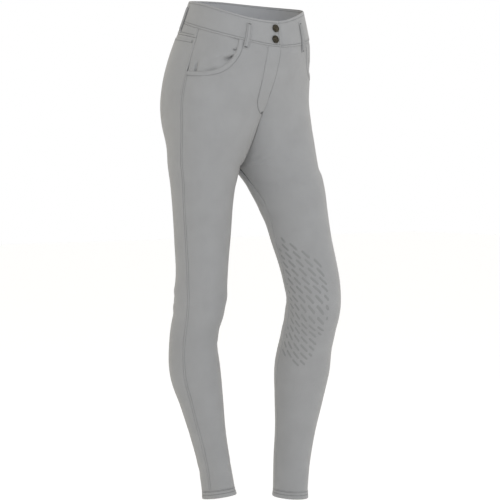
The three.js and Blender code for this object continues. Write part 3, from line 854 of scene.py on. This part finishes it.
def pocket_place(side, v, w, more=0.0):
    """Places on the back patch pocket: v runs down from its mouth and w out to the side seam. The thickness
    there comes third."""
    top = YOKE_LEVEL - BACK_POCKET["below"]
    u = BACK_POCKET["inner"] + (BACK_POCKET["outer"] - BACK_POCKET["inner"]) * w
    depth = BACK_POCKET["depth"] + BACK_POCKET["point"] * (1 - abs(2 * w - 1))
    level = top - depth * v
    wide = (BACK_POCKET["outer"] - BACK_POCKET["inner"]) * HIP_WIDE
    edge = np.minimum(np.minimum(w, 1 - w) * wide, (1 - v) * depth)
    mouth = v * depth
    thick = pocket_thick(edge)
    relief = back_cover(side, level, u) + 0.1 + thick
    relief = relief + roll(mouth, 1.2, 0.3) + stitched(mouth, POCKET["hem"], 0.35)
    relief = relief + pucker(mouth, w * wide, 12, 0.2, 11) + 0.5 * pucker(edge, mouth + w * wide, 9, 0.14)
    points, outward = panel(side, "back", back_height(level, u), u, relief + more)
    return points, outward, thick


def back_pocket(side):
    v = np.concatenate([[0, 0.004, 0.009, 0.016, 0.022, 0.029, 0.036, 0.045], np.linspace(0.06, 1, 36)])
    w = np.concatenate([[0, 0.007, 0.016, 0.03], np.linspace(0.05, 0.95, 30), [0.97, 0.984, 0.993, 1]])
    v = v[:, None]
    points, outward, thick = pocket_place(side, v, w)
    cloth_shell(f"back_pocket_{SIDES[side]}", (points, outward), w * 100, v * -135, thick[..., None])


def placket_place(v, w, more=0.0):
    """Places on the fly's edge: v runs down and w from the middle of the front to the curved stitch."""
    z = BAND_SEAM - GAP - PLACKET["length"] * v
    corner = np.clip(((v - 1) * PLACKET["length"] + PLACKET["curve"]) / PLACKET["curve"], 0, 1)
    wide = PLACKET["wide"] * np.sqrt(1 - 0.96 * corner**2)
    u = EDGE_SHARE + (wide - EDGE_SHARE) * w
    edge = (1 - w) * wide * HIP_WIDE
    fold = w * wide * HIP_WIDE
    end = (1 - v) * PLACKET["length"]
    relief = front_relief(-1, z, u) * smooth(fold / 12) + 0.2 + 0.75 * smooth(np.minimum(edge, end) / 9)
    relief = relief + roll(fold, 1.0, 0.3) + stitched(np.minimum(edge, end), 1.9, 0.3)
    relief = relief + pucker(edge, z, 7, 0.14) + 0.35 * (1 - smooth(fold / 8))
    return panel(-1, "front", z, u, relief + more)


def quarter(count):
    """Shares of the fly's length round its lower curve, after the straight part above."""
    return 1 - 0.28 * np.cos(np.linspace(0, np.pi / 2, count))[1:]


def fly_placket():
    v = np.concatenate([np.linspace(0, 0.72, 40), quarter(18)])[:, None]
    w = np.concatenate([[0, 0.02, 0.05, 0.09], np.linspace(0.14, 0.86, 12), [0.9, 0.94, 0.97, 1]])
    cloth_shell("fly_placket", placket_place(v, w), w * 34, v * -130, PLACKET["thick"])


# Waistband


def band_relief(turn, z, ends):
    """ends are the turns of the piece's own two ends."""
    top, bottom = -z, z - BAND_SEAM
    height = roll(top, 2.0, 0.7) + roll(bottom) + fell(bottom, 6, 0.35)
    height = height + stitched(bottom, STITCH_OFF) + stitched(top, 4.5)
    height = height + pucker(top, turn * DEGREE, 9, 0.12) + pucker(bottom, turn * DEGREE + 17, 9, 0.13)
    for end in ends:
        height = height + roll(abs(turn - end) * DEGREE, 1.6, 0.6)
    return height + drift(band_at(turn, z))


def left_sunk(turn):
    """How far the band's left end lies below the right one."""
    return LAYER * (1 - smooth((turn - LAP["edge"] - LAP["clear"]) / LAP["rise"]))


def right_band(turn, z, more=0.0):
    return band(turn, z, band_relief(turn, z, RIGHT_ENDS) + more)


def left_band(turn, z, more=0.0):
    return band(turn, z, band_relief(turn, z, LEFT_ENDS) - left_sunk(turn) + more)


def ends_close(low, high, count, fine=0.35):
    """Numbers from low to high that lie closer together at both ends."""
    near = fine * np.arange(4)
    return np.concatenate([low + near, np.linspace(low + 2, high - 2, count), high - near[::-1]])


def waistband(side):
    fine = np.array([0, 0.4, 0.9, 1.6, 2.4, 3.2, 3.9, 4.55, 5.2, 6.0])
    z = np.concatenate([-fine, np.linspace(-7.2, BAND_SEAM + 7.2, 18), BAND_SEAM + fine[::-1]])[:, None]
    turn = ends_close(*(RIGHT_ENDS if side < 0 else LEFT_ENDS), 150)
    placed = (right_band if side < 0 else left_band)(turn, z)
    cloth_shell(f"waistband_{SIDES[side]}", placed, turn * DEGREE, z, BAND_THICK)


def facing_place(turn, z, more=0.0):
    """Places on the band's inner layer, on its side towards the wearer."""
    top, bottom = -FACING["edge"] - z, z - BAND_SEAM + FACING["edge"]
    dent = -stitched(top, 3.5, 0.25) - stitched(bottom, 3.6, 0.25)
    points, outward = band(turn, z, -LAYER - 0.9 + dent - pucker(top, turn * 2, 9, 0.12) - more)
    return points, -outward


def waistband_facing(side):
    z = np.linspace(-FACING["edge"], BAND_SEAM + FACING["edge"], 30)[:, None]
    low, high = (-SEAT_END, -FACING["right"]) if side < 0 else (FACING["left"], SEAT_END)
    turn = ends_close(low, high, 120)
    placed = facing_place(turn, z)
    cloth_shell(f"waistband_facing_{SIDES[side]}", placed, turn * 2, z, FACING["thick"], lining=True)


def loop_place(turn, lean, v, w, more=0.0):
    """Places on a belt loop: v runs down it and w across."""
    z = LOOP["top"] + (LOOP["bottom"] - LOOP["top"]) * v
    ends = band_at(np.array([turn - 1, turn + 1]), BAND_SEAM)
    half = LOOP["wide"] / np.linalg.norm(ends[1] - ends[0])
    stand = LOOP["stand"] * smooth(v / 0.13) * smooth((1 - v) / 0.13)
    edge = np.minimum(w, 1 - w) * LOOP["wide"]
    end = np.minimum(v, 1 - v) * (LOOP["top"] - LOOP["bottom"])
    relief = GAP + LOOP["thick"] + stand + roll(edge, 1.3, 0.5) + roll(end, 1.2, 0.6)
    relief = relief + stitched(edge, 2.2, 0.2, 0.6) + stitched(end, 3.5, 0.5, 1.2)
    return band(turn + lean * v + half * (2 * w - 1), z, relief + more)


def belt_loop(place, turn, lean, threads):
    v = np.concatenate([[0, 0.01, 0.025], np.linspace(0.045, 0.955, 34), [0.975, 0.99, 1]])[:, None]
    w = np.array([0, 0.05, 0.12, 0.22, 0.34, 0.5, 0.66, 0.78, 0.88, 0.95, 1])
    placed = loop_place(turn, lean, v, w)
    cloth_shell(f"belt_loop_{place}", placed, w * 10, v * -52, LOOP["thick"], cut=1.02)
    run = np.linspace(0.1, 0.9, 30)
    for w in (0.22, 0.78):
        threads.sew(loop_place(turn, lean, run, w), thick=0.36)
    for v in (0.068, 0.932):
        points, out = loop_place(turn, lean, np.array([v, v, v + 0.03]), np.array([0.5, 0.9, 0.5]))
        threads.tack(points, out[0], 7, 1.8, 6)


# Hems


def hem_place(side, v, w, more=0.0):
    """Places on the hem: v runs down it and w once round."""
    z = HEM_SEAM[side] + (HEM[side] - HEM_SEAM[side]) * v
    up = (1 - v) * (HEM_SEAM[side] - HEM[side])
    relief = HEM_FOLD["proud"] + roll(up, 1.6, 0.5) + roll(HEM_FOLD["tall"] - up, 1.6, 0.9)
    relief = relief + HEM_FOLD["flare"] * smooth(1 - up / 12)
    for at in HEM_STITCHES:
        relief = relief + stitched(up, at, 0.45)
    relief = relief + pucker(up - 8, w * HEM_FOLD["round"], 9, 0.2, 9) + 0.25 * np.sin(w * 2 * np.pi * 5 + 1)
    front, out_front = panel(side, "front", z, np.clip(2 * w, 0, 1), relief + more)
    rear, out_rear = panel(side, "back", z, np.clip(2 - 2 * w, 0, 1), relief + more)
    first = (w < 0.5)[..., None]
    return np.where(first, front, rear), np.where(first, out_front, out_rear)


def hem(side, threads):
    v = np.concatenate([[0, 0.03, 0.07], np.linspace(0.105, 0.9, 26), [0.93, 0.97, 1]])[:, None]
    v, w = np.broadcast_arrays(v, np.arange(128) / 128)
    across, along = w * HEM_FOLD["round"], v * -HEM_FOLD["tall"]
    cloth_shell(f"hem_{SIDES[side]}", hem_place(side, v, w), across, along, HEM_FOLD["thick"], ring=True)
    w = np.linspace(0, 1, 220)
    for at in HEM_STITCHES:
        threads.sew(hem_place(side, np.full(220, 1 - at / (HEM_SEAM[side] - HEM[side])), w))


# Snap caps


def snap_cap(number, turn, z):
    """A cap with a rounded rim, a groove and a low dome."""
    radius, rim, height = CAP["radius"], CAP["rim"], CAP["height"]
    profile = [
        (0, 0), (radius - 0.7, 0), (radius - 0.2, 0.3), (radius, 0.9), (radius - 0.05, height - 0.9),
        (radius - 0.35, height - 0.3), (radius - 0.9, height), (rim + 0.2, height - 0.05),
        (rim - 0.2, height - 0.4), (rim - 0.5, height - 0.95), (rim - 0.9, height - 1.0),
        (rim - 1.3, height - 0.75), (rim - 2.2, height - 0.5), (rim - 3.6, height - 0.32),
        (rim - 5.2, height - 0.26), (0, height - 0.25),
    ]
    seat, out = band(np.array([float(turn)]), np.array([float(z)]), np.array([CAP["seat"]]))
    seat, out = seat[0], out[0]
    side = unit(np.cross([0, 0, 1], out))
    up = np.cross(out, side)
    segments = 56
    turn = np.linspace(0, 2 * np.pi, segments, endpoint=False)
    spoke = side * np.cos(turn)[:, None] + up * np.sin(turn)[:, None]
    inner = profile[1:-1]
    vertices = [seat + out * profile[0][1]]
    vertices += [seat + out * h + s * r for r, h in inner for s in spoke]
    vertices.append(seat + out * profile[-1][1])
    faces = [(0, 1 + (k + 1) % segments, 1 + k) for k in range(segments)]
    faces += moved_faces(tube_faces(len(inner), segments)[:-2], [1])
    last = 1 + (len(inner) - 1) * segments
    faces += [(last + k, last + (k + 1) % segments, len(vertices) - 1) for k in range(segments)]
    piece = make_piece(f"metal_snap_cap_{number}", vertices, faces, METAL, sharp=60)
    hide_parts(f"snap_cap_{number}")


# Stitching


def at_seam(side, face, z, distance, seam):
    """The share u that lies some millimetres from the side seam, or from the middle seam."""
    scale = seam_scale(side, face, z, 1.0 if seam == "side" else 0.0)
    return 1 - distance / scale if seam == "side" else distance / scale


ALLOWANCE = {"away": (0.3, 2.5, 7), "thick": 0.5, "behind": 0.15, "front": -150, "back": -56}


def middle_allowance(face):
    """The edges turned in behind a middle seam, which close it to the light."""
    z = np.linspace(ALLOWANCE[face], FORK + 3, 60)
    places = [(-1, away) for away in ALLOWANCE["away"][::-1]] + [(1, away) for away in ALLOWANCE["away"]]
    inset = -CLOTH_THICK - ALLOWANCE["behind"]
    found = [on_cloth(side, face, z, at_seam(side, face, z, away, "middle"), inset) for side, away in places]
    points, outward = (np.stack([pair[k] for pair in found], 1) for k in range(2))
    across = [side * away for side, away in places]
    wall(f"allowance_{face}", points, outward, ALLOWANCE["thick"], across, z[:, None], CLOTH)


def sew_legs():
    for side, name in SIDES.items():
        threads = Threads(f"stitching_leg_{name}")
        z = np.linspace(SCOOP_END - 2, HEM_SEAM[side] + 2, 420)
        threads.sew(on_cloth(side, "front", z, at_seam(side, "front", z, STITCH_OFF, "side")), thick=0.42)
        z = np.linspace(YOKE_LEVEL - YOKE["middle"] - 4, FORK + 12, 140)
        threads.sew(on_cloth(side, "back", z, at_seam(side, "back", z, STITCH_OFF, "middle")))
        u = np.linspace(0.03, 0.97, 120)
        z = back_height(YOKE_LEVEL, u) + STITCH_OFF
        relief = cloth_relief(side, "back", z, u) + fell(STITCH_OFF) - 0.3
        threads.sew(panel(side, "back", z, u, relief))
        hem(side, threads)
        threads.done()


def sew_pockets():
    for side, name in SIDES.items():
        threads = Threads(f"stitching_pockets_{name}")
        z, u = scoop_edge(np.linspace(0, 1, 160))
        x = u * panel_width(side, "front", z)
        aside = unit(np.stack([np.gradient(z), -np.gradient(x)], -1))
        far_x, far_z = x + aside[:, 0] * MOUTH_STITCH, z + aside[:, 1] * MOUTH_STITCH
        far_u = far_x / panel_width(side, "front", far_z)
        keep = (far_z < BAND_SEAM - 1.5) & (far_u < 0.99)
        z, u = far_z[keep], far_u[keep]
        threads.sew(panel(side, "front", z, u, front_relief(side, z, u)))
        hem_at = POCKET["hem"] / (BACK_POCKET["depth"] + BACK_POCKET["point"] / 2)
        threads.sew(pocket_place(side, np.full(90, hem_at), np.linspace(0.02, 0.98, 90))[:2])
        for at in (0.03, 0.97):
            v, w = np.array([0.012, 0.012, 0.03]), np.array([at, at - 0.02, at])
            points, out, _ = pocket_place(side, v, w)
            threads.tack(points, out[0], 3, 5, 7, lift=0.3)
        threads.done()


def sew_front():
    """The fly's curved stitch with its bar tack, and the lines round the waistband."""
    threads = Threads("stitching_waist")
    v = np.concatenate([np.linspace(0.01, 0.72, 60), quarter(40)])
    w = np.concatenate([np.full(len(v), 0.94), np.linspace(0.9, 0.1, 8)])
    v = np.concatenate([v, np.full(8, 1.0)])
    # The lower part of the curve is sewn with thicker thread, so that the thread's painted shade makes a
    # heavier dark line there
    upper = v < 0.6
    threads.sew(placket_place(v[upper], w[upper]), thick=0.42)
    threads.sew(placket_place(v[~upper], w[~upper]), thick=0.78)
    (end, beside), (out, _) = placket_place(np.full(2, 0.985), np.array([0.3, 0.8]))
    threads.tack([end, beside, end + np.cross(out, beside - end)], out, 5, 4, lift=0.3)
    right = np.linspace(-179, LAP["edge"] - 1.6, 400)
    left = np.linspace(LAP["edge"] + 1, 179, 400)
    for z, thick in ((-4.5, 0.4), (BAND_SEAM + STITCH_OFF, 0.62)):
        threads.sew(right_band(right, np.full(400, z)), thick=thick)
        threads.sew(left_band(left, np.full(400, z)), thick=thick)
        for turn in (np.linspace(-179, -FACING["right"] - 1, 380), np.linspace(FACING["left"] + 1, 179, 380)):
            threads.sew(facing_place(turn, np.full(380, z)))
    down = np.linspace(-4.5, BAND_SEAM + STITCH_OFF, 40)
    threads.sew(right_band(np.full(40, LAP["edge"] - 1.6), down))
    for place, (turn, lean) in LOOPS.items():
        belt_loop(place, turn, lean, threads)
    threads.done()


# Knee grip: slanting dashes of silicone on the inner side of both knees. Distances across run from the
# inseam on the front panel, and on the back panel where they are negative. The right leg's patch lies 72 mm
# further round towards the back.


# The rows lie closer from one of them on, and each column drifts across below a height
GRIP_DASH = {"wide": 4.5, "high": 0.4, "scale": 1.08}
GRIP_ROWS = {"top": -473, "pitch": 17, "count": 17, "closer": 2, "even": 8}
GRIP_COLUMNS = {"first": 22, "pitch": 17.6, "drift": 0.2, "from": -490}
GRIP_TURN = {-1: -72, 1: 0}
# By height: how much lower each column lies than the one before, and the dash's run across and down
GRIP_LAY = table("z step across down", [
    (-490, 3.6, 11.5, 15), (-570, 1.6, 14, 14.5), (-617, 0, 13.5, 8.5), (-700, -2.7, 15.5, 9),
])
GRIP_OUTLINE = table("z low high", [
    (-470, 12, 20), (-478, 4, 32), (-490, 4, 49), (-510, 4, 68), (-530, 4, 86), (-550, 4, 97), (-616, 4, 98),
    (-632, 4, 95), (-650, 4, 89), (-667, 4, 84), (-698, 4, 79), (-709, 4, 74), (-713, 20, 71), (-717, 40, 68),
    (-721, 60, 64),
])
SHORTEST_DASH = 3.5


def grip_at(rows, column, z):
    return np.interp(-np.asarray(z, float), -rows["z"], rows[column])


def grip_point(side, z, across, high):
    """Places above the cloth of a leg: negative distances across lie on the back panel."""
    places = []
    for face, way in (("front", 1), ("back", -1)):
        u = np.maximum(0, way * across) / panel_width(side, face, z)
        places.append(panel(side, face, z, u, cloth_relief(side, face, z, u) + high)[0])
    return np.where((across >= 0)[..., None], *places)


def grip_run(z):
    """A dash's way across and down, to its whole length, at a height."""
    return np.stack([grip_at(GRIP_LAY, "across", z), -grip_at(GRIP_LAY, "down", z)], -1) * GRIP_DASH["scale"]


def clip_dashes(z, across):
    """Cuts the dashes off at the patch's outline: the middles and lengths of what is left."""
    run = grip_run(z)
    t = np.linspace(-0.5, 0.5, 41)
    x, h = across[:, None] + run[:, :1] * t, z[:, None] + run[:, 1:] * t
    inside = (x > grip_at(GRIP_OUTLINE, "low", h)) & (x < grip_at(GRIP_OUTLINE, "high", h))
    inside &= (h < GRIP_OUTLINE["z"][0]) & (h > GRIP_OUTLINE["z"][-1])
    first, last = t[inside.argmax(1)], t[len(t) - 1 - inside[:, ::-1].argmax(1)]
    length = (last - first) * np.linalg.norm(run, axis=-1)
    keep = inside.any(1) & (length > SHORTEST_DASH)
    middle = ((first + last) / 2)[:, None] * run
    return z[keep] + middle[keep, 1], across[keep] + middle[keep, 0], length[keep]


def grip_dashes(side, z, across, length):
    """Dashes at many places: low bars with round ends that follow the cloth. share runs along half a dash,
    and section holds distances beside its middle line and heights."""
    share = np.array([-1, -0.985, -0.94, -0.85, -0.5, 0, 0.5, 0.85, 0.94, 0.985, 1])
    rise = [(0.6, 0.95), (0.93, 0.6), (1, -0.15)]
    section = np.array([(-x, h) for x, h in rise[::-1]] + [(0, 1.05)] + rise)
    way = unit(grip_run(z))[:, :, None, None]
    cap = GRIP_DASH["wide"] / 2
    along = share * length[:, None] / 2
    beyond = np.maximum(0, abs(along) - length[:, None] / 2 + cap) / cap
    half = np.sqrt(np.clip(1 - beyond**2, 0.02, 1))[..., None]
    along = along[..., None]
    beside = cap * half * section[:, 0]
    x = across[:, None, None] + GRIP_TURN[side] + along * way[:, 0] - beside * way[:, 1]
    h = z[:, None, None] + along * way[:, 1] + beside * way[:, 0]
    points = grip_point(side, h, x, GRIP_DASH["high"] * section[:, 1] * half**0.5)
    count, rows, columns = points.shape[:3]
    starts = range(0, count * rows * columns, rows * columns)
    return points.reshape(-1, 3), moved_faces(tube_faces(rows, columns), starts)


def knee_grip(side):
    row, column = np.meshgrid(np.arange(GRIP_ROWS["count"]), np.arange(-4, 6), indexing="ij")
    lower = GRIP_ROWS["closer"] * np.maximum(0, row - GRIP_ROWS["even"] + 1)
    middle = GRIP_ROWS["top"] - GRIP_ROWS["pitch"] * row + lower
    z = (middle - column * grip_at(GRIP_LAY, "step", middle)).ravel()
    across = GRIP_COLUMNS["first"] + GRIP_COLUMNS["pitch"] * column.ravel()
    across = across + GRIP_COLUMNS["drift"] * (GRIP_COLUMNS["from"] - z)
    vertices, faces = grip_dashes(side, *clip_dashes(z, across))
    make_piece(f"grip_print_{SIDES[side]}", vertices, faces, GRIP, sharp=60)


# Camera, light and floor. The camera looks from the wearer's front right, a little from above.
VIEW = {"azimuth": 40, "far": 5000, "up": 216, "aside": 6.6, "middle": -497.4}
PICTURE = {"sensor": 36, "pixels": 500, "mm_per_px": 2.042}


def camera():
    angle = math.radians(VIEW["azimuth"])
    ahead = np.array([math.sin(angle), math.cos(angle), 0])
    right = np.array([math.cos(angle), -math.sin(angle), 0])
    target = VIEW["aside"] * right + np.array([0, 0, VIEW["middle"]])
    eye = target - VIEW["far"] * ahead + np.array([0, 0, VIEW["up"]])
    data = bpy.data.cameras.new("camera")
    data.sensor_width = PICTURE["sensor"]
    data.lens = PICTURE["sensor"] * VIEW["far"] / (PICTURE["mm_per_px"] * PICTURE["pixels"])
    data.clip_end = 100
    seen = bpy.data.objects.new("camera", data)
    bpy.context.scene.collection.objects.link(seen)
    seen.location = eye / 1000
    seen.rotation_mode = "QUATERNION"
    seen.rotation_quaternion = Vector(target - eye).to_track_quat("-Z", "Y")
    bpy.context.scene.camera = seen


# The surroundings are white, but darker and warmer at the camera's left, and darker behind the camera. For
# each of these ways: the darkest colour, and the share of the way across from which they are white.
SURROUND = {"X": ((0.66, 0.61, 0.49), 0.37), "Y": ((0.62, 0.62, 0.62), 0.6)}


def softbox(name, place, aim, size, power, colour=(1, 1, 1)):
    data = bpy.data.lights.new(name, "AREA")
    data.shape = "RECTANGLE"
    data.size, data.size_y = size
    data.energy = power
    data.color = colour
    lamp = bpy.data.objects.new(name, data)
    bpy.context.scene.collection.objects.link(lamp)
    lamp.location = place
    lamp.rotation_mode = "QUATERNION"
    lamp.rotation_quaternion = (Vector(aim) - Vector(place)).to_track_quat("-Z", "Y")


def studio():
    world = bpy.data.worlds.new("studio")
    bpy.context.scene.world = world
    world.use_nodes = True
    nodes, links = world.node_tree.nodes, world.node_tree.links
    nodes["Background"].inputs["Strength"].default_value = 1.0
    way = nodes.new("ShaderNodeTexCoord")
    turned = add_node(nodes, "ShaderNodeMapping", vector_type="POINT")
    turned.inputs["Rotation"].default_value = (0, 0, math.radians(VIEW["azimuth"]))
    parts = nodes.new("ShaderNodeSeparateXYZ")
    both = add_node(nodes, "ShaderNodeVectorMath", operation="MULTIPLY")
    links.new(way.outputs["Generated"], turned.inputs["Vector"])
    links.new(turned.outputs["Vector"], parts.inputs["Vector"])
    for slot, (axis, (dark, white_from)) in enumerate(SURROUND.items()):
        share = add_node(nodes, "ShaderNodeMapRange")
        share.inputs["From Min"].default_value = -1
        links.new(parts.outputs[axis], share.inputs["Value"])
        shade = tone(nodes, links, share.outputs["Result"], (0, dark), (white_from, (1, 1, 1)))
        links.new(shade, both.inputs[slot])
    links.new(both.outputs["Vector"], nodes["Background"].inputs["Color"])
    bpy.context.scene.view_settings.view_transform = "Standard"
    softbox("key", (-1.4, -1.8, 1.45), (0, 0, -0.3), (1.8, 1.8), 31, (0.93, 0.96, 1))
    softbox("fill", (2.4, -2, 0.1), (0, 0, -0.4), (2.2, 2.2), 5.5)


def floor():
    """A pale floor that gives a little light of its own, so that it is white in the picture."""
    material, nodes, links, shader = new_material("floor", {
        "Base Color": (0.94, 0.94, 0.94, 1), "Roughness": 0.9,
        "Emission Color": (1, 1, 1, 1), "Emission Strength": 0.19,
    })
    grain = add_node(nodes, "ShaderNodeTexNoise", Scale=8.0, Detail=2.0)
    emboss(nodes, links, shader, grain.outputs["Fac"], 0.02, 0.001)
    reach, level = 12, -1.06
    corners = [(-reach, -reach, level), (reach, -reach, level), (reach, reach, level), (-reach, reach, level)]
    mesh = bpy.data.meshes.new("floor")
    mesh.from_pydata(corners, [], [(0, 1, 2, 3)])
    mesh.materials.append(material)
    ground = bpy.data.objects.new("floor", mesh)
    bpy.context.scene.collection.objects.link(ground)


camera()
studio()
floor()
for side in SIDES:
    front(side)
    pocket_facing(side)
    back_yoke(side)
    back(side)
    back_pocket(side)
    waistband(side)
    waistband_facing(side)
    knee_grip(side)
fly_placket()
sew_legs()
for face in ("front", "back"):
    middle_allowance(face)
sew_pockets()
sew_front()
for number, (turn, z) in enumerate(CAPS, 1):
    snap_cap(number, turn, z)
